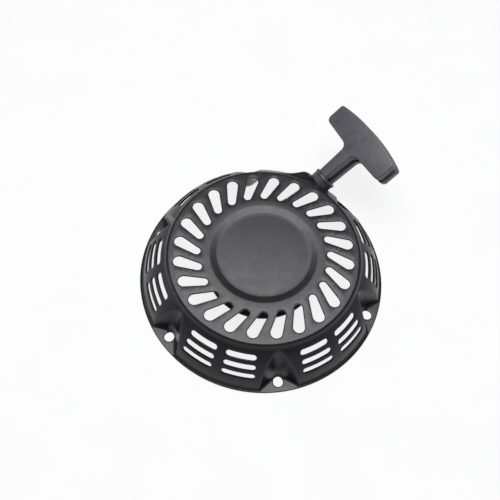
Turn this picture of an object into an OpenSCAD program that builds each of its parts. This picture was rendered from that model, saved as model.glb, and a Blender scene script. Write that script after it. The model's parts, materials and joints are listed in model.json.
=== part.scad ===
// Recoil starter for a small engine.
// Millimetres. The origin is the centre of the flange's underside, where the starter bolts on.
// +Z points out of the engine, through the vented top plate, and +X is the way the rope is pulled.

/* [Housing] */
// Outer radius of the mounting flange
flange_r = 103; // [102.5:0.1:104]
// Height of the top plate's outer face
plate_z = 41.4; // [41.2:0.1:42]
// Radius of the neck below the top plate's rim
neck_r = 79.5; // [79.2:0.1:79.8]
// Thickness of the pressed sheet
sheet_t = 1.5; // [1.2:0.1:1.6]
// Radius of the sunken centre disc
disc_r = 38; // [36:0.5:39]
// Depth of the sunken centre disc
disc_drop = 1.5; // [1:0.1:1.6]

/* [Side wall] */
// Radius of the wall's rounded section
wall_r = 60; // [59.8:0.1:60.2]
// Pitch of the rows of side slots, in degrees round that section
row_pitch = 8.6; // [8:0.1:9]
// Width of a side slot
row_w = 5.2; // [4:0.2:5.6]

/* [Top vents] */
// Number of slanted slots in the top plate
vent_count = 24; // [20:1:26]
// Radius of a slot's wide outer end
vent_wide_r = 4.6; // [4:0.1:4.8]
// Radius of a slot's narrow inner end
vent_narrow_r = 3.2; // [2.5:0.1:3.4]

/* [Mounting] */
// Radius of the circle of mounting holes
bolt_circle_r = 95; // [94.5:0.1:95.5]
// Radius of a mounting hole
bolt_hole_r = 4; // [3.2:0.1:4.3]
// Angle of the first mounting hole from the pull direction
bolt_phase = 6; // [5:0.5:6.5]

/* [Rope and pull] */
// Radius of the rope
rope_r = 2.25; // [2:0.05:2.4]
// Distance of the rope's line from the reel's axis
rope_y = 39.5; // [39.3:0.1:39.8]
// Height of the rope where it leaves the reel
rope_z = 25; // [24.8:0.1:25.2]
// Upward angle of the pull
pull_tilt = 34; // [33:0.5:35]

/* [Reel and ratchet] */
// Radius of the reel's rims
reel_rim_r = 47; // [45:0.5:48]
// Radius of the reel at the bottom of its rope groove
reel_groove_r = 32; // [31.8:0.1:32.2]
// Radius of the steel post that the reel turns on
post_r = 8; // [7.5:0.1:8.2]
// Radial running clearance of the turning fits
running = 0.05; // [0.03:0.01:0.08]

/* [Handle] */
// Half the length of the handle's cross bar
bar_half = 37.8; // [35:0.2:40]
// Thickness of the handle, front face to back face
grip_t = 20; // [18:0.5:22]
// Distance from the stem's seat to the middle of the bar's outer edge
grip_reach = 55; // [54:0.2:57]

/* [Hidden] */
$fn = 64;
eps = 0.01;
big = 200;

// Side wall: an arc of wall_r about this centre, between two angles above the horizontal.
wall_cx = 41.9;
wall_cz = -9.5;
wall_low = 12;
wall_high = 50;
wall_steps = 7;
low_row = 26.2;      // angle of the lowest row of slots
rows = 3;
slot_near = 11.4;    // a side slot's ends, in degrees round the axis from the nearest mounting hole
slot_far = 27.5;
rim_round = 2;
band_r = 43.6;       // outer radius of the sloping band round the centre disc

// Pockets round the mounting holes: a V in plan, leaning in towards the top.
pocket_half = 54.8;
pocket_apex = 89;
pocket_lean = 14.6;
pocket_round = 7;
bolt_count = 6;
bolt_step = 360 / bolt_count;

// Slanted vents: polar places of the two end circles about the vent's own angle.
vent_phase = 8.5;
vent_wide = [68.35, -2.6];
vent_narrow = [54.05, 4.15];

// Boss that carries the rope guide. Its face is square to the pull.
bend_x = 81;         // where the rope turns from its level run to the pull direction
face_s = 2.1;        // the boss's face, measured from there along the pull
boss_top = 36;
boss_under = -12.5;
collar_s = 10.4;     // outer face of the guide's collar
collar_r = 10.5;
shank_r = 6.5;

disc_under = plate_z - disc_drop - sheet_t;   // underside of the centre disc

// Reel and the parts under it, by height.
reel_low = 15.5;
reel_high = 34;
groove_low = 18;
groove_high = 32;
cavity_r = 29.5;
cavity_floor = 19.5;
hub_r = 11;
hub_low = 10;
post_low = 9.7;
screw_r = 3;
pawl_low = 9.4;
pawl_high = 13.4;
guide_low = 5.8;
guide_high = 8.6;
pin_r = 2.5;
pivot_x = 22;
peg = [-2, -10];     // the pawl's peg, from its pivot
peg_r = 1.5;
swing = 30;          // how far the guide and the pawls turn
knot_angle = 200;

stem_seat = collar_s + 0.1;
grip_turn = 4;       // how far the handle is turned on the rope
washer_w = grip_reach - 9;        // underside of the washer in the handle's recess, from the stem's seat
washer_t = 1.2;
knot_w = washer_w + washer_t + 4.2;

// Points of an arc about c, from angle a to angle b, in n steps.
function arc(c, r, a, b, n) = [for (i = [0:n]) c + r * [cos(a + (b - a) * i / n), sin(a + (b - a) * i / n)]];

// Turns a plane point by an angle.
function turned(p, a) = [p[0] * cos(a) - p[1] * sin(a), p[0] * sin(a) + p[1] * cos(a)];

function polar(r, a) = r * [cos(a), sin(a)];

// A copy of the children at each mounting hole's angle.
module at_bolts() {
    for (k = [0:bolt_count - 1]) rotate(bolt_phase + k * bolt_step) children();
}

// The children's +Z becomes the pull direction, starting where the rope bends.
module along_pull(s = 0) {
    translate([bend_x, rope_y, rope_z]) rotate([0, 90 - pull_tilt, 0]) translate([0, 0, s]) children();
}

// A ring about Z.
module ring(r_in, r_out, low, high) {
    translate([0, 0, low]) difference() {
        cylinder(r = r_out, h = high - low);
        translate([0, 0, -1]) cylinder(r = r_in, h = high - low + 2);
    }
}

// A flat shape with a round end of its own radius at each of two points.
module tapered_slot(p, rp, q, rq) {
    d = norm(q - p);
    way = atan2(q[1] - p[1], q[0] - p[0]);
    lean = acos((rp - rq) / d);
    translate(p) circle(r = rp);
    translate(q) circle(r = rq);
    polygon([p + polar(rp, way + lean), q + polar(rq, way + lean),
             q + polar(rq, way - lean), p + polar(rp, way - lean)]);
}

// ---- housing ----

// The pressing as a solid of revolution. inset 0 is its outside, inset sheet_t its inside.
module housing_form(inset) {
    base = inset > 0 ? -1 : 0;
    wall = arc([wall_cx, wall_cz], wall_r - inset, wall_high, wall_low, wall_steps);
    rim = arc([neck_r - 1 - rim_round, plate_z - rim_round], rim_round - inset, 90, 0, 3);
    foot = inset > 0
        ? [[wall[wall_steps][0], base]]
        : [[flange_r - 1.6, sheet_t], [flange_r, sheet_t], [flange_r, 0]];
    rotate_extrude($fn = 180) polygon(concat(
        [[0, base], [0, plate_z - disc_drop - inset], [disc_r - inset / 3, plate_z - disc_drop - inset],
         [band_r - inset / 3, plate_z - inset]],
        rim, [[neck_r - inset, wall[0][1] + 1.4]], wall, foot));
}

// The V-shaped pocket over a mounting hole. grow thickens it, to leave its walls.
module pocket(grow) {
    r = pocket_round + grow;
    c = pocket_round / sin(pocket_half);
    far = 40;
    side = (far - c + r / sin(pocket_half)) * tan(pocket_half);
    intersection() {
        translate([pocket_apex, 0, 0]) rotate([0, -pocket_lean, 0]) translate([0, 0, -10]) linear_extrude(70)
            polygon(concat(
                arc([c, 0], r, 90 + pocket_half, 270 - pocket_half, 4),
                [[far, -side], [far, side]]));
        translate([0, -big / 2, grow > 0 ? -20 : sheet_t]) cube([big, big, 80]);
    }
}

// The bulge that turns the wall square to the rope.
module boss(inset) {
    intersection() {
        linear_extrude(boss_top - inset) polygon([
            [20, 29.5 + inset], [110, 29.5 + inset], [110, 53 - inset], [73, 53 - inset],
            [56 - inset, 64 - inset], [42 - inset, 70 - inset], [20, 70 - inset]]);
        along_pull(-70) translate([-60, -50, 0]) cube([60 - boss_under - inset, 100, 70 + face_s - inset]);
    }
}

// Flat seat for the guide's collar, where the wall stands proud of the boss's face.
module guide_seat(grow) {
    along_pull(face_s - grow) cylinder(r = collar_r + 0.5 + grow, h = 20);
}

module top_vents() {
    translate([0, 0, plate_z - 4]) linear_extrude(6)
        for (k = [0:vent_count - 1]) rotate(vent_phase + k * 360 / vent_count)
            tapered_slot(polar(vent_wide[0], vent_wide[1]), vent_wide_r,
                         polar(vent_narrow[0], vent_narrow[1]), vent_narrow_r);
}

// One side slot, centred at angle turn round the axis and at angle rise up the wall.
module side_slot(turn, rise) {
    reach = wall_cx + wall_r * cos(rise);
    half = reach * sin((slot_far - slot_near) / 2) - row_w / 2;
    rotate(turn) translate([wall_cx, 0, wall_cz]) rotate([0, 90 - rise, 0]) translate([0, 0, wall_r - 4])
        linear_extrude(8) {
            square([row_w, 2 * half], center = true);
            for (side = [-1, 1]) translate([0, side * half]) circle(r = row_w / 2);
        }
}

// The sector that holds the rope guide has no side slots.
module side_slots() {
    middle = (slot_near + slot_far) / 2;
    for (k = [0:bolt_count - 1], side = [-1, 1], row = [0:rows - 1])
        if (!(k == 0 && side == 1) && !(k == 1 && side == -1))
            side_slot(bolt_phase + k * bolt_step + side * middle, low_row + row * row_pitch);
}

module housing() {
    color("#2b2b30") difference() {
        union() {
            difference() {
                housing_form(0);
                at_bolts() pocket(0);
            }
            boss(0);
        }
        difference() {
            union() {
                housing_form(sheet_t);
                boss(sheet_t);
            }
            at_bolts() pocket(sheet_t);
            guide_seat(sheet_t);
        }
        guide_seat(0);
        top_vents();
        side_slots();
        at_bolts() translate([bolt_circle_r, 0, -1]) cylinder(r = bolt_hole_r, h = sheet_t + 2);
        along_pull(-2) cylinder(r = shank_r + running, h = face_s + 4);
    }
}

// Steel post welded under the centre disc.
module reel_post() {
    color("#8a8d92") difference() {
        union() {
            translate([0, 0, disc_under - 2]) cylinder(r = 22, h = 2);
            translate([0, 0, post_low]) cylinder(r = post_r, h = disc_under - 1 - post_low);
        }
        translate([0, 0, post_low - 1]) cylinder(r = screw_r + running, h = 16);
    }
}

// Hook plate that holds the inner end of the recoil spring.
module spring_anchor() {
    color("#8a8d92") translate([12.2, -3, cavity_floor + 2.5])
        cube([1.8, 6, disc_under - 2 - cavity_floor - 2.5]);
}

// Moulded bush that the rope runs through. The handle's stem rests on its collar.
module rope_guide() {
    lip = 1;
    color("#1c1c1e") along_pull() rotate_extrude() polygon([
        [3.2, -0.6], [5.2, -2.9], [shank_r, -2.9], [shank_r, face_s], [collar_r, face_s],
        [collar_r, collar_s - lip], [collar_r - lip, collar_s], [4.6, collar_s], [3.2, collar_s - 2]]);
}

module thrust_washer() {
    color("#b9bcc0") ring(screw_r + running, 12, guide_high + 0.1, post_low);
}

// Shouldered screw that holds the ratchet on the post.
module centre_screw() {
    head_low = 2.2;
    color("#b9bcc0") difference() {
        union() {
            translate([0, 0, head_low]) cylinder(r = 5, h = 2, $fn = 6);
            translate([0, 0, head_low + 1.4]) cylinder(r = 7.5, h = 1.6);
            translate([0, 0, head_low + 2]) cylinder(r = screw_r, h = 19);
        }
        translate([0, 0, head_low - eps]) cylinder(r = 2, h = 1);
    }
}

// ---- rope ----

// Cuts the children square to the bend, so the level rope and the pulled rope meet on one plane.
module before_bend(gap) {
    difference() {
        children();
        translate([bend_x, rope_y, rope_z]) rotate([0, -pull_tilt / 2, 0])
            translate([-gap, -10, -10]) cube(20);
    }
}

module rope_lead() {
    color("#e8e6dc") before_bend(0.1)
        translate([0, rope_y, rope_z]) rotate([0, 90, 0]) cylinder(r = rope_r, h = bend_x + 4);
}

module rope_tail() {
    color("#e8e6dc") difference() {
        along_pull(-4) cylinder(r = rope_r, h = 4 + stem_seat + knot_w);
        translate([bend_x, rope_y, rope_z]) rotate([0, -pull_tilt / 2, 0])
            translate([-20, -10, -10]) cube(20);
    }
}

// The first layer of rope on the reel, as one ring.
module rope_winding() {
    inner = reel_groove_r + 0.15;
    color("#e8e6dc") ring(inner, inner + 2 * rope_r, groove_low + 0.25, groove_high - 0.25);
}

// Knot below the reel that anchors the rope's inner end.
module reel_knot() {
    color("#e8e6dc") rotate(knot_angle) translate([reel_groove_r + 2.5, 0, 0]) {
        translate([0, 0, 11.9]) sphere(r = 3.4);
        translate([0, 0, 11.9]) cylinder(r = rope_r - 0.05, h = groove_low - 11.9);
    }
}

// ---- reel ----

module reel() {
    color("#26262a") difference() {
        union() {
            ring(hub_r - 1, reel_rim_r, reel_low, groove_low);
            ring(cavity_r, reel_groove_r, groove_low - 1, groove_high + 1);
            ring(cavity_r, reel_rim_r, groove_high, reel_high);
            ring(post_r + running, hub_r, hub_low, reel_high);
            ring(hub_r - 1, cavity_r + 1, reel_low, cavity_floor);
        }
        for (side = [0, 180]) rotate(side)
            translate([pivot_x, 0, reel_low - 1]) cylinder(r = pin_r + 0.02, h = 8);
        rotate(knot_angle)
            translate([reel_groove_r + 2.5, 0, reel_low - 1]) cylinder(r = rope_r + 0.15, h = 6);
        for (k = [0:5]) rotate(k * 60 + 30)
            translate([40, 0, reel_low - 1]) cylinder(r = 3.4, h = groove_low - reel_low + 2);
    }
}

// Flat spiral spring. Its inner end hooks on the anchor and its outer end on the reel.
module recoil_spring() {
    turns = 6;
    step = 15;
    inner = 16;
    outer = 28.4;
    strip = 0.7;
    n = turns * 360 / step;
    hook = 14.2;
    line = [for (i = [0:n]) [inner + (outer - inner) * i / n, i * step]];
    color("#5d6066") translate([0, 0, cavity_floor + 0.6]) linear_extrude(12)
        polygon(concat([[hook, 0], [hook, strip]],
                       [for (i = [1:n]) polar(line[i][0], line[i][1])],
                       [for (i = [n:-1:0]) polar(line[i][0] + strip, line[i][1])]));
}

module pawl_pin() {
    color("#b9bcc0") translate([pivot_x, 0, pawl_low + 0.1])
        cylinder(r = pin_r, h = cavity_floor - 0.2 - pawl_low - 0.1);
}

module pawl_pin_left() {
    pawl_pin();
}

module pawl_pin_right() {
    rotate(180) pawl_pin();
}

// Return spring round a pawl's pin, with one leg over the pawl and one along the reel.
module pawl_spring() {
    wire = 0.35;
    color("#5d6066") translate([pivot_x, 0, 0]) {
        ring(3.2, 4.2, pawl_high + 0.25, reel_low - 0.25);
        for (leg = [-75, 30]) rotate(leg) translate([4, 3.7, pawl_high + 0.7]) rotate([0, 90, 0])
            translate([0, 0, -4]) cylinder(r = wire, h = 9, $fn = 24);
    }
}

module pawl_spring_left() {
    pawl_spring();
}

module pawl_spring_right() {
    rotate(180) pawl_spring();
}

// Ratchet pawl: an eye on the pin, a curved arm and a peg that the guide drives.
module pawl() {
    color("#9a9da2") difference() {
        union() {
            translate([pivot_x, 0, pawl_low]) linear_extrude(pawl_high - pawl_low) {
                circle(r = 5);
                polygon(concat(arc([0, 0], 4.9, 190, 250, 3),
                               [[-8, -16], [-11.5, -23.5], [-6.5, -27.5], [-2.5, -21], [1.5, -12]],
                               arc([0, 0], 4.9, 320, 360, 2)));
            }
            translate([pivot_x + peg[0], peg[1], guide_low + 0.4])
                cylinder(r = peg_r, h = pawl_low - guide_low);
        }
        translate([pivot_x, 0, pawl_low - 1]) cylinder(r = pin_r + running, h = pawl_high - pawl_low + 2);
    }
}

module pawl_left() {
    pawl();
}

module pawl_right() {
    rotate(180) pawl();
}

// Where a pawl's peg is, seen from the guide, once both have turned by a.
function peg_seen(a) = turned([pivot_x, 0] + turned(peg, a), -a);

// Cam disc held back by friction, which swings the pawls out as the reel starts to turn.
module ratchet_guide() {
    slot_r = peg_r + 0.6;
    bow = pivot_x * (1 - cos(swing / 2)) / 2;
    outward = polar(bow, -swing / 2);
    color("#c9c4b4") difference() {
        union() {
            translate([0, 0, guide_low]) cylinder(r = 13, h = guide_high - guide_low);
            for (side = [0, 180])
                rotate(side - 38) translate([0, 0, guide_low]) linear_extrude(guide_high - guide_low)
                tapered_slot([0, 0], 12.9, [22, 0], 9);
        }
        translate([0, 0, guide_low - 1]) cylinder(r = screw_r + running, h = 5);
        for (side = [0, 180]) rotate(side) translate([0, 0, guide_low - 1]) linear_extrude(5)
            tapered_slot(peg_seen(0) + outward, slot_r + bow, peg_seen(swing) + outward, slot_r + bow);
    }
}

// Split spring ring that drags the guide against the screw's head.
module friction_spring() {
    color("#5d6066") rotate(20) translate([0, 0, guide_low - 0.55]) rotate_extrude(angle = 320)
        translate([4.6, 0]) square([1.6, 0.5]);
}

// ---- handle ----

// The handle's outline: X along the bar, Y away from the seat. inset draws it smaller all round.
module grip_outline(inset) {
    stem = 4.7;
    throat = 5.6;      // half the stem's width where it meets the bar
    fillet = 6;
    inner_mid = 31.2;  // the bar's inner edge, at the stem and at its ends
    inner_end = 32.2;
    palm_r = 160;
    inner_round = 4.5;
    outer_round = 2.6;
    end_y = grip_reach - palm_r + sqrt(palm_r * palm_r - bar_half * bar_half);
    half = concat(
        [[stem - inset, inset > 0 ? 1.5 : 0]],
        arc([throat + fillet, inner_mid - fillet], fillet + inset, 180, 98, 6),
        [[bar_half - 5, inner_end + inset]],
        arc([bar_half - inner_round, inner_end + inner_round], inner_round - inset, 275, 355, 4),
        arc([bar_half - outer_round, end_y - 2.2], outer_round - inset, 5, 60, 3),
        arc([0, grip_reach - palm_r], palm_r - inset, 78.5, 90, 5));
    polygon(concat(half, [for (i = [len(half) - 2:-1:0]) [-half[i][0], half[i][1]]]));
}

module handle_grip() {
    plate = 6.5;
    groove = 2;
    color("#3a3940") along_pull(stem_seat) rotate(-grip_turn) difference() {
        rotate([90, 0, 90]) {
            for (z = [-grip_t / 2, grip_t / 2 - plate])
                translate([0, 0, z]) linear_extrude(plate) grip_outline(0);
            translate([0, 0, -grip_t / 2 + 1]) linear_extrude(grip_t - 2) grip_outline(groove);
            translate([0, 0, -3.6]) linear_extrude(7.2) translate([-4.4, 0]) square([8.8, 3]);
        }
        translate([0, 0, -1]) cylinder(r = rope_r + 0.3, h = 60);
        translate([0, 0, washer_w]) cylinder(r = 5.2, h = 12);
    }
}

module grip_washer() {
    color("#b9bcc0") along_pull(stem_seat) ring(rope_r + 0.3, 5, washer_w, washer_w + washer_t);
}

// Knot that holds the handle on the rope, in the recess in the bar's outer edge.
module handle_knot() {
    color("#e8e6dc") along_pull(stem_seat + knot_w) difference() {
        sphere(r = 4.4);
        translate([-6, -6, -10.2]) cube([12, 12, 6]);
        translate([0, 0, -6]) cylinder(r = rope_r + 0.05, h = 6);
    }
}

housing();
reel_post();
spring_anchor();
rope_guide();
thrust_washer();
centre_screw();
rope_lead();
reel();
rope_winding();
reel_knot();
recoil_spring();
pawl_pin_left();
pawl_pin_right();
pawl_spring_left();
pawl_spring_right();
pawl_left();
pawl_right();
ratchet_guide();
friction_spring();
handle_grip();
grip_washer();
rope_tail();
handle_knot();
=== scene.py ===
import json
import math

import bmesh
import bpy
import numpy as np
from mathutils import Matrix, Vector
from mathutils.geometry import delaunay_2d_cdt


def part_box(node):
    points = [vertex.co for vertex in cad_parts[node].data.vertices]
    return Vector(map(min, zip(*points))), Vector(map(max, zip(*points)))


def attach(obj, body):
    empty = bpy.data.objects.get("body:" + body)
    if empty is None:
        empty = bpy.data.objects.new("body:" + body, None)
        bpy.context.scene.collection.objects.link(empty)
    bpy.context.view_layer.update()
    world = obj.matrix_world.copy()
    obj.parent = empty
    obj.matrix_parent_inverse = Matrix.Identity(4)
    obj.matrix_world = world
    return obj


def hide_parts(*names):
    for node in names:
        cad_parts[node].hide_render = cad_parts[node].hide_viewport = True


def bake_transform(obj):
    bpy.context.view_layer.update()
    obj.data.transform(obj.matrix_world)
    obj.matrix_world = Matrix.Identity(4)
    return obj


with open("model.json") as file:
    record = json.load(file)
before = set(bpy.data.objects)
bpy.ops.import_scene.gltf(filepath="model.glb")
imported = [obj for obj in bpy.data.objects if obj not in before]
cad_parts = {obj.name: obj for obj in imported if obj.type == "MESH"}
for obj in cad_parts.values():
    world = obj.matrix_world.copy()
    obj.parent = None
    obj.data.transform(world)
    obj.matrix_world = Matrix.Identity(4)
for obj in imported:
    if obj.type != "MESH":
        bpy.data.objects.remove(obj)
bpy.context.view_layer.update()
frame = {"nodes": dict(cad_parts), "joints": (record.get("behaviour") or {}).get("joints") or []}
mm = 0.001

# The rope's bend, where it leaves its level run, and the direction in which the handle is pulled.
pullJoint = next(j for j in frame["joints"] if j["name"] == "handle_pull")
pullWay = np.array(pullJoint["axis"], float)
pullDown = np.array([pullWay[2], 0.0, -pullWay[0]])
bend = np.array([81.0, 39.5, 25.0])
stemSeat = 10.5   # where the handle's stem rests on the guide, in mm from the bend
print("frame loaded")


def linear(hexCode):
    srgb = [int(hexCode[i:i + 2], 16) / 255 for i in (1, 3, 5)]
    return tuple(c / 12.92 if c <= 0.04045 else ((c + 0.055) / 1.055) ** 2.4 for c in srgb) + (1.0,)


def addNode(tree, kind, settings=None, links=None):
    # Settings are attributes, or input sockets by name or number; links are input: output socket.
    node = tree.nodes.new(kind)
    for key, value in (settings or {}).items():
        if isinstance(key, str) and hasattr(node, key):
            setattr(node, key, value)
        else:
            node.inputs[key].default_value = value
    for key, socket in (links or {}).items():
        tree.links.new(socket, node.inputs[key])
    return node


def startMaterial(name, settings):
    material = bpy.data.materials.new(name)
    material.use_nodes = True
    tree = material.node_tree
    shader = tree.nodes["Principled BSDF"]
    for key, value in settings.items():
        shader.inputs[key].default_value = value
    return material, tree, shader


def makePiece(name, points, faces, material, body, replaced, sharpDegrees=40):
    # points are in mm in the shared frame, faces a list of corner lists or an array
    mesh = bpy.data.meshes.new(name)
    mesh.from_pydata((np.asarray(points, float) * mm).tolist(), [], [list(map(int, f)) for f in faces])
    mesh.validate()
    return addPiece(name, mesh, material, body, replaced, sharpDegrees)


def addPiece(name, mesh, material, body, replaced, sharpDegrees=40):
    mesh.polygons.foreach_set("use_smooth", np.ones(len(mesh.polygons), bool))
    mesh.set_sharp_from_angle(angle=math.radians(sharpDegrees))
    mesh.materials.clear()
    mesh.materials.append(material)
    piece = bpy.data.objects.new(name, mesh)
    bpy.context.scene.collection.objects.link(piece)
    if body:
        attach(piece, body)
    if replaced:
        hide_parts(*replaced)
    return piece


def gridFaces(rows, columns, closeRows=False, closeColumns=False):
    # Quads of a rows by columns grid of points, in the order row * columns + column
    i = np.arange(rows if closeRows else rows - 1)
    j = np.arange(columns if closeColumns else columns - 1)
    i, j = np.meshgrid(i, j, indexing="ij")
    down = (i + 1) % rows
    right = (j + 1) % columns
    corners = [i * columns + j, i * columns + right, down * columns + right, down * columns + j]
    return np.stack(corners, -1).reshape(-1, 4)


def smoothMin(a, b, width):
    return np.minimum(a, b) - np.maximum(width - np.abs(a - b), 0) ** 2 / (4 * width)


def smoothMax(a, b, width):
    return -smoothMin(-a, -b, width)


housingSizes = {
    "plateTop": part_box("housing")[1].z / mm,
    "flangeRadius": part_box("housing")[1].y / mm,
    "sheet": 1.5,
    "discRadius": 38.0, "bandRadius": 43.6, "discDrop": 1.5,
    "neckRadius": 79.2, "wallRadius": 60.0, "wallCentre": (41.9, -9.5), "footRadius": 101.0,
    "boltPhase": 6.0, "boltCircle": 95.0, "boltHole": 4.0,
    "pocketHalf": 54.8, "pocketApex": 89.0, "pocketLean": 14.6, "pocketRound": 7.0,
    "ventPhase": 8.5, "ventCount": 24, "ventOuter": (68.35, -2.6, 4.6), "ventInner": (54.05, 4.15, 3.2),
    "rowAngles": (26.2, 34.8, 43.4), "slotWidth": 5.2, "slotNear": 11.4, "slotFar": 27.5,
    "bossTop": 36.0, "bossFace": 2.1, "bossSides": (29.5, 53.0), "guideHole": 6.6, "seatRadius": 11.2,
}


def bossField(x, y, z):
    # Level top, face square to the pull, upright sides, and a fairing that runs back along the wall
    h = housingSizes
    low, high = h["bossSides"]
    face = (x - bend[0]) * pullWay[0] + (z - bend[2]) * pullWay[2] - h["bossFace"]
    fairing = smoothMax(((x - 73) * 11 + (y - 53) * 17) / 20.25, ((x - 56) * 6 + (y - 64) * 14) / 15.23, 6)
    fairing = smoothMax(fairing, y - 70, 3)
    draft = 0.07 * (z - 20)
    side = smoothMin(y - high, fairing, 6) + draft
    body = smoothMax(side, low - y + draft, 2)
    body = smoothMax(body, np.hypot(x, y) - h["footRadius"] + 2 * draft, 3)
    body = smoothMax(body, 22 - x, 3)
    return smoothMax(smoothMax(body, z - h["bossTop"], 3), face, 4)


def housingField(points):
    # Below zero in the pressing's outer form: dome, neck and plate, less the pockets, plus boss and flange
    h = housingSizes
    x, y, z = points.T
    r = np.hypot(x, y)
    dome = np.hypot(r - h["wallCentre"][0], z - h["wallCentre"][1]) - h["wallRadius"]
    side = smoothMin(dome, r - h["neckRadius"] + 0.25 * (z - 38.5), 1.2)
    slope = h["discDrop"] * (h["bandRadius"] - r) / (h["bandRadius"] - h["discRadius"])
    sunk = smoothMin(smoothMax(slope, 0 * r, 0.3), h["discDrop"] + 0 * r, 0.3)
    form = smoothMax(side, z - h["plateTop"] + sunk, 2.4)
    turn = np.radians((np.degrees(np.arctan2(y, x)) - h["boltPhase"] + 30) % 60 - 30)
    out, across = r * np.cos(turn), np.abs(r * np.sin(turn))
    lean, half = math.radians(h["pocketLean"]), math.radians(h["pocketHalf"])
    into = (out - h["pocketApex"]) * math.cos(lean) + z * math.sin(lean)
    bow = h["pocketRound"] / math.sin(half) - np.sqrt(np.maximum(h["pocketRound"] ** 2 - across ** 2, 0))
    edge = np.where(across < h["pocketRound"] * math.cos(half), bow, across / math.tan(half))
    form = smoothMax(form, (into - edge) * 0.85, 0.8)
    form = smoothMin(form, bossField(x, y, z), 2.5)
    ahead = (points - bend) @ pullWay
    aside = np.linalg.norm(points - bend - ahead[:, None] * pullWay, axis=1)
    seat = smoothMin(ahead - h["bossFace"], h["seatRadius"] - aside, 1)
    form = smoothMax(form, seat, 0.8)
    return smoothMin(form, z - h["sheet"], 1.8)


def heightAt(plan):
    # Where an upright line through each plan point meets the form, by halving
    low = np.zeros(len(plan))
    high = np.full(len(plan), 50.0)
    for _ in range(26):
        middle = (low + high) / 2
        inside = housingField(np.column_stack([plan, middle])) < 0
        low = np.where(inside, middle, low)
        high = np.where(inside, high, middle)
    return low


def fieldNormal(points):
    step = 0.02
    slopes = [housingField(points + step * axis) - housingField(points - step * axis) for axis in np.eye(3)]
    normal = np.column_stack(slopes)
    return normal / np.linalg.norm(normal, axis=1)[:, None]


# Unrolled radius: the distance along the pressing's section from the axis, at an angle clear of pockets
sectionRadius = np.linspace(0, housingSizes["flangeRadius"], 5151)
sectionAngle = math.radians(housingSizes["boltPhase"] + 210)
sectionPlan = sectionRadius[:, None] * [math.cos(sectionAngle), math.sin(sectionAngle)]
sectionHeight = heightAt(sectionPlan)
sectionRun = np.concatenate([[0], np.cumsum(np.hypot(np.diff(sectionRadius), np.diff(sectionHeight)))])


def unrolled(radius, angle):
    run = np.interp(radius, sectionRadius, sectionRun)
    return np.column_stack([run * np.cos(angle), run * np.sin(angle)])


def rolledPlan(flat):
    run = np.hypot(*flat.T)
    radius = np.interp(run, sectionRun, sectionRadius)
    angle = np.arctan2(flat[:, 1], flat[:, 0])
    return np.column_stack([radius * np.cos(angle), radius * np.sin(angle)])


def slotOutline(start, startRadius, end, endRadius, count=26):
    # Two round ends of their own radius and the straight sides that touch both
    start, end = np.array(start, float), np.array(end, float)
    along = end - start
    way = math.atan2(along[1], along[0])
    lean = math.acos((startRadius - endRadius) / np.hypot(*along))
    first = way + np.linspace(lean, 2 * math.pi - lean, count // 2)
    last = way + np.linspace(-lean, lean, count // 2)
    sides = []
    for a, b in ((start + startRadius * np.array([math.cos(way - lean), math.sin(way - lean)]),
                  end + endRadius * np.array([math.cos(way - lean), math.sin(way - lean)])),
                 (end + endRadius * np.array([math.cos(way + lean), math.sin(way + lean)]),
                  start + startRadius * np.array([math.cos(way + lean), math.sin(way + lean)]))):
        steps = max(2, int(np.hypot(*(b - a)) / 2))
        sides.append(a + (b - a) * np.linspace(0, 1, steps + 1)[1:-1, None])
    round1 = start + startRadius * np.column_stack([np.cos(first), np.sin(first)])
    round2 = end + endRadius * np.column_stack([np.cos(last), np.sin(last)])
    return np.concatenate([round1, sides[0], round2, sides[1]])


def housingOutlines(grow):
    # Every opening's outline on the unrolled sheet, grown by this much
    h = housingSizes
    outlines = []
    for k in range(h["ventCount"]):
        base = h["ventPhase"] + 15 * k
        ends = []
        for radius, angle, _ in (h["ventOuter"], h["ventInner"]):
            a = math.radians(base + angle)
            ends.append((radius * math.cos(a), radius * math.sin(a)))
        plan = slotOutline(ends[0], h["ventOuter"][2] + grow, ends[1], h["ventInner"][2] + grow)
        outlines.append(unrolled(np.hypot(*plan.T), np.arctan2(plan[:, 1], plan[:, 0])))
    middle = (h["slotNear"] + h["slotFar"]) / 2
    for k in range(6):
        for side in (-1, 1):
            if (k, side) in ((0, 1), (1, -1)):
                continue
            for rise in h["rowAngles"]:
                reach = h["wallCentre"][0] + h["wallRadius"] * math.cos(math.radians(rise))
                half = reach * math.radians(h["slotFar"] - h["slotNear"]) / 2 - h["slotWidth"] / 2
                end = h["slotWidth"] / 2
                local = slotOutline((0, -half), end + grow, (0, half), end + grow)
                run = np.interp(reach, sectionRadius, sectionRun) + local[:, 0]
                angle = math.radians(h["boltPhase"] + 60 * k + side * middle) + local[:, 1] / reach
                outlines.append(np.column_stack([run * np.cos(angle), run * np.sin(angle)]))
    around = np.linspace(0, 2 * math.pi, 28, endpoint=False)
    for k in range(6):
        a = math.radians(h["boltPhase"] + 60 * k)
        ring = (h["boltHole"] + grow) * np.column_stack([np.cos(around), np.sin(around)])
        plan = h["boltCircle"] * np.array([math.cos(a), math.sin(a)]) + ring
        outlines.append(unrolled(np.hypot(*plan.T), np.arctan2(plan[:, 1], plan[:, 0])))
    ring = (h["guideHole"] + grow) * np.column_stack([np.cos(around), np.sin(around)])
    spot = bend + h["bossFace"] * pullWay + ring[:, :1] * pullDown + ring[:, 1:] * [0, 1, 0]
    outlines.append(unrolled(np.hypot(spot[:, 0], spot[:, 1]), np.arctan2(spot[:, 1], spot[:, 0])))
    return outlines


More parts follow.
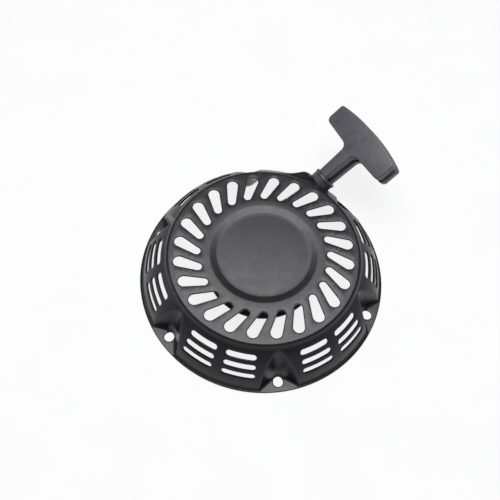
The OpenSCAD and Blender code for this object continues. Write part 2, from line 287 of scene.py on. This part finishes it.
def insideAny(points, outlines):
    found = np.zeros(len(points), bool)
    for outline in outlines:
        centre = outline.mean(0)
        reach = np.hypot(*(outline - centre).T).max()
        near = np.nonzero(np.hypot(*(points - centre).T) < reach)[0]
        x, y = points[near].T[:, :, None]
        x0, y0 = outline.T[:, None, :]
        x1, y1 = np.roll(outline, -1, 0).T[:, None, :]
        with np.errstate(divide="ignore", invalid="ignore"):
            crossing = ((y0 > y) != (y1 > y)) & (x < (x1 - x0) * (y - y0) / (y1 - y0) + x0)
        found[near] |= crossing.sum(1) % 2 == 1
    return found


def sheetRows():
    # Rings of points on the unrolled sheet: close together where the section bends
    rows = [(r, 90) for r in (14, 26, 34)] + [(r, 180) for r in (37.2, 38, 38.8, 42.8, 43.6, 44.4)]
    rows += [(r, 120) for r in (48.5, 61, 73.5)]
    rimStart = np.interp(75.2, sectionRadius, sectionRun)
    rims = np.interp(np.arange(0, 9.5, 0.55) + rimStart, sectionRun, sectionRadius)
    rows += [(r, 360) for r in rims]
    start, end = np.interp([81.5, 101.2], sectionRadius, sectionRun)
    rows += [(r, 240) for r in np.interp(np.linspace(start, end, 15), sectionRun, sectionRadius)]
    flange = housingSizes["flangeRadius"]
    rows += [(101.7, 360), (102.3, 360), (flange - 0.35, 360)]
    return [unrolled(np.full(count, r), np.arange(count) * 2 * math.pi / count) for r, count in rows]


def buildHousing(material):
    h = housingSizes
    # Each ring: distance from an opening's edge, and how far the punch drew it in
    rings = [(0.0, 0.34), (0.3, 0.1), (0.75, 0.0)]
    outlines = [housingOutlines(grow) for grow, _ in rings]
    rim = np.arange(360) * 2 * math.pi / 360
    edge = unrolled(np.full(360, h["flangeRadius"]), rim)
    round360 = np.arange(360)
    fixed, links, sinks = [edge], [np.column_stack([round360, (round360 + 1) % 360])], [np.full(360, 0.3)]
    count = 360
    for group, (_, sink) in zip(outlines, rings):
        for outline in group:
            n = len(outline)
            fixed.append(outline)
            links.append(count + np.column_stack([np.arange(n), (np.arange(n) + 1) % n]))
            sinks.append(np.full(n, sink))
            count += n
    fixed, links, sinks = np.concatenate(fixed), np.concatenate(links), np.concatenate(sinks)
    keepOff = housingOutlines(rings[-1][0] + 0.45)
    free = np.concatenate([np.zeros((1, 2))] + sheetRows())
    free = free[~insideAny(free, keepOff)]
    for level in range(8):
        flat = np.concatenate([fixed, free])
        result = delaunay_2d_cdt([Vector(p) for p in flat.tolist()], links.tolist(), [], 0, 1e-5)
        flat = np.array([tuple(v) for v in result[0]])
        tris = np.array(result[2])
        tris = tris[~insideAny(flat[tris].mean(1), outlines[0])]
        plan = rolledPlan(flat)
        points = np.column_stack([plan, heightAt(plan)])
        normal = fieldNormal(points)
        if level == 7:
            break
        sides = np.sort(np.concatenate([tris[:, [0, 1]], tris[:, [1, 2]], tris[:, [2, 0]]]), axis=1)
        sides = np.unique(sides, axis=0)
        length = np.linalg.norm(points[sides[:, 0]] - points[sides[:, 1]], axis=1)
        turn = 1 - (normal[sides[:, 0]] * normal[sides[:, 1]]).sum(1)
        steep = (normal[sides, 2].min(1) < 0.9)
        split = ((length > 3.6) & steep) | ((turn > 0.03) & (length > 0.7))
        extra = flat[sides[split]].mean(1)
        extra = extra[~insideAny(extra, keepOff)]
        free = np.concatenate([free, extra])
        print("housing sheet, pass", level, "points", len(flat))
    sink = np.zeros(len(flat))
    for i, source in enumerate(result[3]):
        if source and source[0] < len(sinks):
            sink[i] = sinks[source[0]]
    outer = points - sink[:, None] * normal
    inner = points - h["sheet"] * normal
    inner[:, 2] = np.maximum(inner[:, 2], 0)
    n = len(points)
    a, b, c = points[tris].transpose(1, 0, 2)
    flipped = np.cross(b - a, c - a)[:, 2] < 0
    tris[flipped] = tris[flipped][:, ::-1]
    sides = np.concatenate([tris[:, [0, 1]], tris[:, [1, 2]], tris[:, [2, 0]]])
    key = np.sort(sides, 1) @ [n, 1]
    _, index, times = np.unique(key, return_index=True, return_counts=True)
    border = sides[index[times == 1]]
    walls = np.column_stack([border[:, 1], border[:, 0], border[:, 0] + n, border[:, 1] + n])
    faces = tris.tolist() + (tris[:, ::-1] + n).tolist() + walls.tolist()
    return makePiece("housing_pressing", np.concatenate([outer, inner]), faces, material,
                     "housing", ["housing"], 42)


def filleted(corners, radius, steps=4, closed=True):
    # Each corner of an outline becomes a short curve that starts and ends a radius away from it
    corners = np.array(corners, float)
    radius = np.broadcast_to(np.array(radius, float), len(corners))
    rows = []
    t = np.linspace(0, 1, steps + 1)[:, None]
    for i, corner in enumerate(corners):
        before, after = corners[i - 1] - corner, corners[(i + 1) % len(corners)] - corner
        if radius[i] <= 0 or (not closed and i in (0, len(corners) - 1)):
            rows.append(corner[None])
            continue
        reach = min(radius[i], np.hypot(*before) * 0.48, np.hypot(*after) * 0.48)
        first = corner + before / np.hypot(*before) * reach
        last = corner + after / np.hypot(*after) * reach
        rows.append((1 - t) ** 2 * first + 2 * t * (1 - t) * corner + t ** 2 * last)
    return np.concatenate(rows)


def atOrigin(points):
    return points


def alongPull(points):
    # Local x points down and out, local y stays y, and z runs along the pull from the bend
    return bend + points[..., :1] * pullDown + points[..., 1:2] * [0, 1, 0] + points[..., 2:] * pullWay


def gridPiece(name, grid, material, body, replaced, closeRows=False, closeColumns=False, capped=False,
              place=atOrigin, sharpDegrees=40):
    # A piece from a rows by columns grid of points, with a UV map that runs along the rows and columns
    rows, columns = grid.shape[:2]
    points = place(grid.reshape(-1, 3))
    faces = gridFaces(rows, columns, closeRows, closeColumns)
    mesh = bpy.data.meshes.new(name)
    caps = [list(range(columns)), list(range((rows - 1) * columns, rows * columns))[::-1]] if capped else []
    mesh.from_pydata((points * mm).tolist(), [], faces.tolist() + caps)
    run = np.concatenate([[0], np.cumsum(np.linalg.norm(np.diff(grid.mean(1), axis=0), axis=1))])
    step = run[-1] / max(rows - 1, 1)
    i, j = np.divmod(faces[:, 0], columns)
    corners = np.stack([[run[i], j / columns], [run[i], (j + 1) / columns],
                        [run[i] + step, (j + 1) / columns], [run[i] + step, j / columns]])
    uv = np.zeros((len(mesh.loops), 2))
    uv[:4 * len(faces)] = corners.transpose(2, 0, 1).reshape(-1, 2)
    mesh.uv_layers.new(name="along").data.foreach_set("uv", uv.ravel())
    shell = bmesh.new()
    shell.from_mesh(mesh)
    bmesh.ops.remove_doubles(shell, verts=shell.verts, dist=1e-7)
    bmesh.ops.recalc_face_normals(shell, faces=shell.faces)
    shell.to_mesh(mesh)
    shell.free()
    return addPiece(name, mesh, material, body, replaced, sharpDegrees)


def lathe(profile, count=96):
    # A closed section of radius and height, turned round the axis
    angle = np.arange(count)[:, None] * 2 * math.pi / count
    radius, height = np.array(profile).T
    level = np.broadcast_to(height, (count, len(radius)))
    return np.stack([np.cos(angle) * radius, np.sin(angle) * radius, level], -1)


def sweep(path, reference, section):
    # A section of across and up offsets carried along a path; up is as near to the reference as it can be
    along = np.gradient(path, axis=0)
    along /= np.linalg.norm(along, axis=1)[:, None]
    across = np.cross(along, reference)
    across /= np.linalg.norm(across, axis=1)[:, None]
    up = np.cross(across, along)
    section = np.broadcast_to(section, (len(path),) + section.shape[-2:])
    return path[:, None] + section[..., :1] * across[:, None] + section[..., 1:] * up[:, None]


def roundSection(radius, columns):
    turn = np.arange(columns) * 2 * math.pi / columns
    return radius * np.column_stack([np.cos(turn), np.sin(turn)])


def braidedSection(path, radius, columns, relief):
    # Two sets of strands wound opposite ways: whichever lies on top raises the surface
    run = np.concatenate([[0], np.cumsum(np.linalg.norm(np.diff(path, axis=0), axis=1))])[:, None]
    turn = np.arange(columns)[None, :] * 2 * math.pi / columns
    lay = run * 2 * math.pi / ropeSizes["braidPitch"]
    height = np.maximum(np.abs(np.sin(2 * turn + lay)), np.abs(np.sin(2 * turn - lay))) - 0.8
    reach = radius + relief * height
    return np.stack([reach * np.cos(turn), reach * np.sin(turn)], -1)


def softened(name, node, material, body, width=0.25):
    # A copy of a plain piece with its points merged and its edges broken by a small bevel
    shell = bmesh.new()
    shell.from_mesh(frame["nodes"][node].data)
    bmesh.ops.remove_doubles(shell, verts=shell.verts, dist=1e-6)
    bmesh.ops.dissolve_limit(shell, angle_limit=math.radians(0.5), verts=shell.verts, edges=shell.edges)
    mesh = bpy.data.meshes.new(name)
    shell.to_mesh(mesh)
    shell.free()
    piece = addPiece(name, mesh, material, body, [node], 30)
    bevel = piece.modifiers.new("softEdge", "BEVEL")
    bevel.width = width * mm
    bevel.segments = 2
    bevel.limit_method = "ANGLE"
    bevel.angle_limit = math.radians(35)
    bevel.use_clamp_overlap = True
    return piece


ropeSizes = {"radius": 2.25, "braidPitch": 14.0, "innerTurn": 34.4, "outerTurn": 39.5, "lowTurn": 20.5,
             "pitch": 4.5, "startAngle": 200.0, "knotRadius": 34.5,
             "knotHeight": 11.9, "gripReach": 55.0}
# knotRadius and knotHeight place the knot under the reel. knotBase is the top of the washer in the
# handle, where that knot sits, from the stem's seat.
ropeSizes["knotBase"] = ropeSizes["gripReach"] - 7.8


def buildWinding(material):
    # Nearly three turns up the reel, a step out over them, then down to where the rope leaves.
    # Each turn is level but for a short crossover, so a layer is full from flange to flange.
    r = ropeSizes
    turns = 4 + (r["startAngle"] - 90) / 360
    t = np.linspace(0, turns, 1600)
    angle = np.radians(r["startAngle"]) - 2 * math.pi * t

    def step(start, end):
        part = np.clip((t - start) / (end - start), 0, 1)
        return part * part * (3 - 2 * part)

    radius = r["innerTurn"] + (r["outerTurn"] - r["innerTurn"]) * step(2.55, 2.8)
    height = r["lowTurn"] + r["pitch"] * (step(0.8, 1.0) + step(1.8, 2.0) - step(3.35, 3.58))
    path = np.column_stack([radius * np.cos(angle), radius * np.sin(angle), height])
    grid = sweep(path, np.array([0, 0, 1.0]), braidedSection(path, r["radius"], 18, 0.35))
    gridPiece("rope_turns", grid, material, "reel", ["rope_winding"],
              closeColumns=True, capped=True)


def buildPulledRope(material):
    # Level to the bend, round it, then straight through the guide and the handle
    r = ropeSizes
    level = np.column_stack([np.linspace(0, 75, 60), np.full(60, bend[1]), np.full(60, bend[2])])
    t = np.linspace(0, 1, 14)[1:, None]
    start, end = np.array([75, bend[1], bend[2]]), bend + 6 * pullWay
    curve = (1 - t) ** 2 * start + 2 * t * (1 - t) * bend + t ** 2 * end
    length = stemSeat + r["knotBase"] + 2
    straight = bend + np.linspace(6, length, 170)[1:, None] * pullWay
    path = np.concatenate([level, curve, straight])
    grid = sweep(path, np.array([0, 1.0, 0]), roundSection(r["radius"], 20))
    rope = gridPiece("pull_rope", grid, material, None, ["rope_lead", "rope_tail"],
                     closeColumns=True, capped=True)
    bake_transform(rope)


def buildKnot(name, replaced, body, material, size, place):
    # A trefoil round a flattened ring, whose up direction points away from the ring's core
    t = np.linspace(0, 2 * math.pi, 150, endpoint=False)
    wide = 1 + 0.42 * np.cos(3 * t)
    path = np.column_stack([wide * np.cos(2 * t), wide * np.sin(2 * t), 0.775 * np.sin(3 * t)])
    core = np.column_stack([np.cos(2 * t), np.sin(2 * t), 0 * t])
    path, core = path * size, core * size
    along = np.roll(path, -1, 0) - np.roll(path, 1, 0)
    along /= np.linalg.norm(along, axis=1)[:, None]
    across = np.cross(along, path - core)
    across /= np.linalg.norm(across, axis=1)[:, None]
    up = np.cross(across, along)
    section = braidedSection(path, 0.62 * size, 14, 0.12)
    grid = path[:, None] + section[..., :1] * across[:, None] + section[..., 1:] * up[:, None]
    gridPiece(name, grid, material, body, replaced,
              closeRows=True, closeColumns=True, place=place)


guideSizes = {"bore": 3.2, "shank": 6.5, "collar": 10.5, "seat": 2.1, "face": 10.4, "inner": -2.9}


def buildGuide(material):
    # The bush's section: flared bore, shank through the boss, collar with a step below its outer lip
    g = guideSizes
    section = filleted([
        [g["bore"], g["inner"] + 2.3], [g["bore"] + 2, g["inner"]], [g["shank"], g["inner"]],
        [g["shank"], g["seat"]], [g["collar"] - 0.6, g["seat"]], [g["collar"] - 0.6, g["face"] - 2.6],
        [g["collar"], g["face"] - 2.2], [g["collar"], g["face"]], [g["bore"] + 1.4, g["face"]],
        [g["bore"], g["face"] - 2]], [0.8, 0.5, 0.5, 0.05, 0.4, 0.2, 0.3, 0.9, 1.2, 0.8])
    gridPiece("guide_bush", lathe(section, 96), material, "housing", ["rope_guide"],
              closeRows=True, closeColumns=True, place=alongPull, sharpDegrees=50)


def buildReel(material):
    # Hub, web, spring cup and two rims in one section, with six lightening holes in the lower rim
    section = filleted([
        [8.05, 10], [11, 10], [11, 15.5], [47, 15.5], [47, 18], [32, 18], [32, 32], [47, 32], [47, 34],
        [29.5, 34], [29.5, 19.5], [11, 19.5], [11, 34], [8.05, 34]],
        [0.4, 0.5, 1, 0.9, 0.7, 1, 1, 0.7, 0.7, 0.6, 1, 1, 0.5, 0.4])
    reel = gridPiece("rope_reel", lathe(section, 180), material, "reel", ["reel"],
                     closeRows=True, closeColumns=True)
    cutter = bmesh.new()
    for k in range(6):
        spot = Matrix.Translation((0.040 * math.cos(math.radians(30 + 60 * k)),
                                   0.040 * math.sin(math.radians(30 + 60 * k)), 0.0167))
        bmesh.ops.create_cone(cutter, cap_ends=True, segments=40, radius1=0.0034, radius2=0.0034, depth=0.006,
                              matrix=spot)
    cutHoles(reel, cutter)


def cutHoles(piece, cutter):
    mesh = bpy.data.meshes.new("cutter")
    cutter.to_mesh(mesh)
    cutter.free()
    tool = bpy.data.objects.new("cutter", mesh)
    bpy.context.scene.collection.objects.link(tool)
    cut = piece.modifiers.new("cut", "BOOLEAN")
    cut.operation = "DIFFERENCE"
    cut.solver = "EXACT"
    cut.object = tool
    bpy.context.view_layer.update()
    done = bpy.data.meshes.new_from_object(piece.evaluated_get(bpy.context.evaluated_depsgraph_get()))
    piece.modifiers.clear()
    piece.data = done
    done.polygons.foreach_set("use_smooth", np.ones(len(done.polygons), bool))
    done.set_sharp_from_angle(angle=math.radians(35))
    bpy.data.objects.remove(tool)


def buildRecoilSpring(material):
    # Strip spring: a spiral of six turns with an inner hook, drawn as an upright strip with round edges
    turn = np.linspace(0, 12 * math.pi, 720)
    radius = 16 + 12.6 * turn / (12 * math.pi)
    path = np.column_stack([radius * np.cos(turn), radius * np.sin(turn), np.full(720, 26.1)])
    hook = np.column_stack([np.linspace(14.3, 15.9, 6), np.zeros(6), np.full(6, 26.1)])
    path = np.concatenate([hook, path[3:]])
    strip = filleted([[-0.3, -6], [0.3, -6], [0.3, 6], [-0.3, 6]], 0.2, 2)
    gridPiece("spring_strip", sweep(path, np.array([0, 0, 1.0]), strip), material, "reel",
              ["recoil_spring"], closeColumns=True, capped=True, sharpDegrees=60)


def buildPawlSpring(name, node, side, material):
    # Torsion spring: two and a half turns of wire between two straight legs
    t = np.linspace(0, 1, 120)
    start, end = math.radians(165), math.radians(165 - 2.4 * 360)
    angle = start + (end - start) * t
    coil = np.column_stack([3.7 * np.cos(angle), 3.7 * np.sin(angle), 13.85 + 1.2 * t])
    legs = []
    for angle, point, sign in ((start, coil[0], 1), (end, coil[-1], -1)):
        way = sign * np.array([-math.sin(angle), math.cos(angle), 0])
        reach = np.linspace(7.5, 0.6, 12)[:, None]
        legs.append(point + way * reach)
    path = np.concatenate([legs[0], coil, legs[1][::-1]])
    path[:, 0] += 22
    path[:, :2] *= side
    grid = sweep(path, np.array([0, 0, 1.0]), roundSection(0.33, 10))
    gridPiece(name, grid, material, "reel",
              [node], closeColumns=True, capped=True)


def buildFrictionSpring(material):
    angle = np.radians(np.linspace(20, 340, 90))
    path = np.column_stack([5.4 * np.cos(angle), 5.4 * np.sin(angle), 5.5 + 0.06 * np.sin(3 * angle)])
    section = filleted([[-0.75, -0.22], [0.75, -0.22], [0.75, 0.22], [-0.75, 0.22]], 0.12, 2)
    gridPiece("split_ring", sweep(path, np.array([0, 0, 1.0]), section), material, "ratchet",
              ["friction_spring"], closeColumns=True, capped=True, sharpDegrees=60)


gripSizes = {"barHalf": 37.8, "thick": 20.0, "reach": 55.0, "stem": 4.7, "throat": 5.6, "fillet": 6.0,
             "turn": 4.0, "innerMid": 31.2, "innerEnd": 32.2, "palmRadius": 160.0, "innerRound": 4.5,
             "outerRound": 2.6,
             "plate": 6.5, "groove": 2.0, "edgeRound": 1.1}


def arcPoints(centre, radius, start, end, count):
    turn = np.radians(np.linspace(start, end, count))
    return np.array(centre) + radius * np.column_stack([np.cos(turn), np.sin(turn)])


def gripOutline(inset):
    # Half of the T, from the stem's foot to the middle of the palm side, then its mirror image
    g = gripSizes
    endY = g["reach"] - g["palmRadius"] + math.sqrt(g["palmRadius"] ** 2 - g["barHalf"] ** 2)
    stem = np.column_stack([np.full(8, g["stem"] - inset), np.linspace(inset * 0.75, 22, 8)])
    stem[:, 0] += (g["throat"] - g["stem"]) * stem[:, 1] / 26
    inner = np.column_stack([np.linspace(14, g["barHalf"] - 6, 9),
                             np.linspace(g["innerMid"] + 0.2, g["innerEnd"] - 0.1, 9) + inset])
    half = np.concatenate([
        stem,
        arcPoints([g["throat"] + g["fillet"], g["innerMid"] - g["fillet"]], g["fillet"] + inset, 180, 98, 12),
        inner,
        arcPoints([g["barHalf"] - g["innerRound"], g["innerEnd"] + g["innerRound"]], g["innerRound"] - inset,
                  275, 358, 10),
        arcPoints([g["barHalf"] - g["outerRound"], endY - 2.2], g["outerRound"] - inset, 4, 62, 8),
        arcPoints([0, g["reach"] - g["palmRadius"]], g["palmRadius"] - inset, 77.6, 89.6, 14)])
    return np.concatenate([half, half[::-1] * [-1, 1]])


def turnedOnRope(points):
    # From the handle's own axes to the shared frame: turned on the rope, with its foot on the guide
    turn = math.radians(gripSizes["turn"])
    x, y, z = points.T
    return alongPull(np.column_stack([x * math.cos(turn) + y * math.sin(turn),
                                      y * math.cos(turn) - x * math.sin(turn), z + stemSeat]))


def buildGrip(material):
    # The outline in layers through the thickness: two round-edged plates with a groove between them
    g = gripSizes
    turn = np.radians(np.linspace(0, 90, 6))
    edge = g["edgeRound"]
    half, plate = g["thick"] / 2, g["plate"]
    layers = [(-half + edge * (1 - math.sin(a)), edge * (1 - math.cos(a))) for a in turn[::-1]]
    layers += [(-half + plate - 0.5, 0.0), (-half + plate, 0.5), (-half + plate, g["groove"] - 0.4),
               (-half + plate + 0.4, g["groove"])]
    layers += [(-z, inset) for z, inset in layers[::-1]]
    rings = []
    for level, inset in layers:
        outline = gripOutline(inset)
        rings.append(np.column_stack([np.full(len(outline), level), outline]))
    grid = np.stack(rings)
    grip = gridPiece("t_handle", grid, material, "handle", ["handle_grip"],
                     closeColumns=True, capped=True, place=turnedOnRope, sharpDegrees=32)
    cutter = bmesh.new()
    toPull = Matrix(np.column_stack([pullDown, [0, 1, 0], pullWay]).tolist()).to_4x4()
    for radius, start, end in ((2.55, -1.0, g["reach"] - 8), (5.2, g["reach"] - 9, g["reach"] + 3)):
        middle = bend + (stemSeat + (start + end) / 2) * pullWay
        bmesh.ops.create_cone(cutter, cap_ends=True, segments=48, radius1=radius * mm, radius2=radius * mm,
                              depth=(end - start) * mm,
                              matrix=Matrix.Translation(Vector(middle * mm)) @ toPull)
    cutHoles(grip, cutter)


def objectPoint(tree):
    return addNode(tree, "ShaderNodeTexCoord").outputs["Object"]


def noiseAt(tree, grainMm, detail=3.0, stretch=(1, 1, 1)):
    # Noise whose grain has this size; grain below about 0.5 mm is drawn at that size so that it shows
    scale = 1 / (max(grainMm, 0.5) * mm)
    place = addNode(tree, "ShaderNodeMapping", {"Scale": tuple(scale * s for s in stretch)},
                    {"Vector": objectPoint(tree)})
    return addNode(tree, "ShaderNodeTexNoise", {"Scale": 1.0, "Detail": detail},
                   {"Vector": place.outputs[0]}).outputs["Fac"]


def ramp(tree, socket, low, high, stops=(0.3, 0.7)):
    # Blends between two colours or greys as the value goes between the stops
    node = addNode(tree, "ShaderNodeValToRGB", {}, {"Fac": socket})
    for element, stop, colour in zip(node.color_ramp.elements, stops, (low, high)):
        element.position = stop
        element.color = colour if isinstance(colour, tuple) else (colour, colour, colour, 1)
    return node.outputs["Color"]


def finish(tree, shader, colour, roughness, height, depthMm):
    # Links colour and roughness patterns, and a bump whose height is a real depth
    tree.links.new(colour, shader.inputs["Base Color"])
    tree.links.new(roughness, shader.inputs["Roughness"])
    bump = addNode(tree, "ShaderNodeBump", {"Strength": 1.0, "Distance": depthMm * mm}, {"Height": height})
    tree.links.new(bump.outputs[0], shader.inputs["Normal"])


def blackEnamel():
    # Stoved satin enamel on pressed steel: deep black with orange peel and a faint dust bloom
    material, tree, shader = startMaterial("blackEnamel", {"IOR": 1.5, "Specular IOR Level": 0.2})
    bloom = ramp(tree, noiseAt(tree, 26, 4), linear("#101013"), linear("#16161a"))
    rough = ramp(tree, noiseAt(tree, 7, 5), 0.25, 0.34)
    peel = noiseAt(tree, 1.1, 1)
    finish(tree, shader, bloom, rough, peel, 0.012)
    return material


def mouldedNylon(name, low, high, grainMm, roughness, depthMm=0.03):
    # Injection-moulded nylon: satin, with the fine texture of a spark-eroded mould
    material, tree, shader = startMaterial(name, {"IOR": 1.53, "Specular IOR Level": 0.5})
    tone = ramp(tree, noiseAt(tree, 14, 4), linear(low), linear(high))
    rough = ramp(tree, noiseAt(tree, 5, 4), roughness - 0.05, roughness + 0.07)
    finish(tree, shader, tone, rough, noiseAt(tree, grainMm, 3), depthMm)
    return material


def platedSteel(name, low, high, roughness, grainMm, stretch=(1, 1, 1)):
    # Bare or plated steel: bright, with a drawn or rolled grain
    material, tree, shader = startMaterial(name, {"Metallic": 1.0})
    tone = ramp(tree, noiseAt(tree, 3, 4, stretch), linear(low), linear(high))
    rough = ramp(tree, noiseAt(tree, 1.2, 4, stretch), roughness - 0.07, roughness + 0.1)
    finish(tree, shader, tone, rough, noiseAt(tree, grainMm, 3, stretch), 0.012)
    return material


def braid(tree, run, turn):
    # The upper of two sets of crossing strands, from the distance along the rope and the turn round it
    def wave(sign):
        lay = addNode(tree, "ShaderNodeMath", {"operation": "MULTIPLY_ADD", 1: sign * 2 * math.pi / (
            ropeSizes["braidPitch"] * mm)}, {0: run, 2: turn})
        sine = addNode(tree, "ShaderNodeMath", {"operation": "SINE"}, {0: lay.outputs[0]})
        return addNode(tree, "ShaderNodeMath", {"operation": "ABSOLUTE"}, {0: sine.outputs[0]}).outputs[0]
    return addNode(tree, "ShaderNodeMath", {"operation": "MAXIMUM"}, {0: wave(1), 1: wave(-1)}).outputs[0]


def braidedNylon(name, woundRope):
    # Bright braided nylon cord, with painted shade: the valleys between its strands are coloured grey
    material, tree, shader = startMaterial(name, {"IOR": 1.53, "Sheen Weight": 0.35, "Sheen Roughness": 0.4})
    if woundRope:
        uv = addNode(tree, "ShaderNodeUVMap", {"uv_map": "along"})
        split = addNode(tree, "ShaderNodeSeparateXYZ", {}, {0: uv.outputs[0]})
        run = addNode(tree, "ShaderNodeMath", {"operation": "MULTIPLY", 1: mm},
                      {0: split.outputs[0]}).outputs[0]
        turn = addNode(tree, "ShaderNodeMath", {"operation": "MULTIPLY", 1: 4 * math.pi},
                       {0: split.outputs[1]}).outputs[0]
    else:
        centred = addNode(tree, "ShaderNodeVectorMath", {"operation": "SUBTRACT", 1: tuple(bend * mm)},
                          {0: objectPoint(tree)}).outputs[0]
        parts = [addNode(tree, "ShaderNodeVectorMath", {"operation": "DOT_PRODUCT", 1: tuple(way)},
                         {0: centred}).outputs["Value"] for way in (pullWay, pullDown, (0.0, 1.0, 0.0))]
        run = parts[0]
        angle = addNode(tree, "ShaderNodeMath", {"operation": "ARCTAN2"},
                        {0: parts[2], 1: parts[1]}).outputs[0]
        turn = addNode(tree, "ShaderNodeMath", {"operation": "MULTIPLY", 1: 2.0}, {0: angle}).outputs[0]
    strands = braid(tree, run, turn)
    # Painted shade: the grey end of this ramp darkens the valleys between strands; the pale end is the cord's
    # own white on the strand tops
    tone = ramp(tree, strands, linear("#8d8a80"), linear("#efede4"), (0.55, 0.85))
    rough = ramp(tree, noiseAt(tree, 1.5), 0.6, 0.8)
    finish(tree, shader, tone, rough, strands, 0.25)
    return material


finishes = {
    "enamel": blackEnamel(),
    "grip": mouldedNylon("gripNylon", "#2c2b31", "#343339", 0.6, 0.42),
    "bush": mouldedNylon("bushNylon", "#242427", "#2d2d31", 0.6, 0.4),
    "reel": mouldedNylon("glassFilledNylon", "#1c1c1e", "#29292b", 0.9, 0.48),
    "ratchet": mouldedNylon("naturalAcetal", "#b9b29c", "#cdc7b3", 0.8, 0.45),
    "zinc": platedSteel("zincPlate", "#b8bcc4", "#d5d8de", 0.3, 0.6),
    "bright": platedSteel("turnedSteel", "#a9abae", "#c6c8ca", 0.28, 0.5, (1, 1, 6)),
    "spring": platedSteel("bluedSpringSteel", "#3c3f49", "#5b5f6b", 0.3, 0.5, (1, 1, 8)),
    "pawl": platedSteel("sinteredSteel", "#77787a", "#95969a", 0.45, 0.7),
    "woundRope": braidedNylon("woundRope", True),
    "pulledRope": braidedNylon("pulledRope", False),
}
print("materials ready")


buildHousing(finishes["enamel"])
print("housing done")
buildGuide(finishes["bush"])
softened("post_with_plate", "reel_post", finishes["bright"], "housing", 0.5)
softened("spring_hook_plate", "spring_anchor", finishes["bright"], "housing", 0.3)
softened("washer_under_post", "thrust_washer", finishes["zinc"], "housing", 0.2)
softened("screw_with_flange", "centre_screw", finishes["zinc"], "housing", 0.3)
print("fixed pieces done")

buildReel(finishes["reel"])
buildRecoilSpring(finishes["spring"])
buildWinding(finishes["woundRope"])
buildKnot("knot_under_reel", ["reel_knot"], "reel", finishes["woundRope"], 2.35,
          lambda p: p + [ropeSizes["knotRadius"] * math.cos(math.radians(ropeSizes["startAngle"])),
                         ropeSizes["knotRadius"] * math.sin(math.radians(ropeSizes["startAngle"])),
                         ropeSizes["knotHeight"]])
for side, name in ((1, "left"), (-1, "right")):
    softened("pin_" + name, "pawl_pin_" + name, finishes["bright"], "reel", 0.25)
    buildPawlSpring("torsion_spring_" + name, "pawl_spring_" + name, side, finishes["spring"])
    softened("ratchet_pawl_" + name, "pawl_" + name, finishes["pawl"], "pawl_" + name, 0.35)
softened("pawl_guide", "ratchet_guide", finishes["ratchet"], "ratchet", 0.4)
buildFrictionSpring(finishes["spring"])
print("reel and ratchet done")

buildGrip(finishes["grip"])
softened("washer_in_grip", "grip_washer", finishes["zinc"], "handle", 0.2)
buildKnot("knot_in_grip", ["handle_knot"], "handle", finishes["woundRope"], 2.35,
          lambda p: alongPull(p + [0, 0, stemSeat + ropeSizes["knotBase"] + 4.2]))
buildPulledRope(finishes["pulledRope"])
print("handle and rope done")


stageSizes = {"lens": 47.3, "roll": 4.63, "camera": (-0.1502, -0.1903, 0.5089),
              "target": (0.004, 0.0251, 0.0)}
# Each light: its place and size in metres, and its power in watts
stageLights = {"overhead": ((0.055, 0.08, 1.0), 0.84, 21.5), "side": ((-1.3, 0.9, 0.6), 0.5, 4)}


def lookAt(thing, target, rollDegrees=0.0):
    back = (Vector(thing.location) - Vector(target)).normalized()
    right = Vector((0, 0, 1)).cross(back).normalized()
    up = back.cross(right)
    turn = Matrix.Rotation(math.radians(rollDegrees), 3, back)
    thing.rotation_euler = Matrix((turn @ right, turn @ up, back)).transposed().to_euler()


def addCamera():
    camera = bpy.data.objects.new("camera", bpy.data.cameras.new("camera"))
    camera.data.lens = stageSizes["lens"]
    camera.location = stageSizes["camera"]
    lookAt(camera, stageSizes["target"], stageSizes["roll"])
    bpy.context.scene.collection.objects.link(camera)
    bpy.context.scene.camera = camera


def addLight(name, place, size, watts):
    light = bpy.data.objects.new(name, bpy.data.lights.new(name, "AREA"))
    light.data.shape = "DISK"
    light.data.size = size
    light.data.energy = watts
    light.location = place
    lookAt(light, (0, 0, 0.02))
    bpy.context.scene.collection.objects.link(light)


def addFloor():
    # Backlit acrylic sheet: white, matt and slightly glowing
    material, tree, shader = startMaterial("litAcrylic", {"Roughness": 0.85, "Specular IOR Level": 0.2,
                                                           "Emission Color": (1, 1, 1, 1),
                                                           "Emission Strength": 0.84})
    tone = ramp(tree, noiseAt(tree, 60, 2), linear("#444446"), linear("#4a4a4a"))
    tree.links.new(tone, shader.inputs["Base Color"])
    mesh = bpy.data.meshes.new("floor")
    mesh.from_pydata([(-4, -4, 0), (4, -4, 0), (4, 4, 0), (-4, 4, 0)], [], [(0, 1, 2, 3)])
    mesh.materials.append(material)
    floor = bpy.data.objects.new("floor", mesh)
    bpy.context.scene.collection.objects.link(floor)


def addWorld():
    # A room with pale walls up to a little above the floor and a dark ceiling
    world = bpy.data.worlds.new("studio")
    bpy.context.scene.world = world
    world.use_nodes = True
    tree = world.node_tree
    around = addNode(tree, "ShaderNodeTexCoord").outputs["Generated"]
    way = addNode(tree, "ShaderNodeSeparateXYZ", {}, {0: around})
    shade = ramp(tree, way.outputs[2], (0.93, 0.93, 0.94, 1), (0.1, 0.1, 0.11, 1), (0.14, 0.42))
    tree.links.new(shade, tree.nodes["Background"].inputs["Color"])


addCamera()
addFloor()
addWorld()
for name, (place, size, watts) in stageLights.items():
    addLight(name, place, size, watts)
bpy.context.scene.view_settings.view_transform = "Standard"
print("stage done")
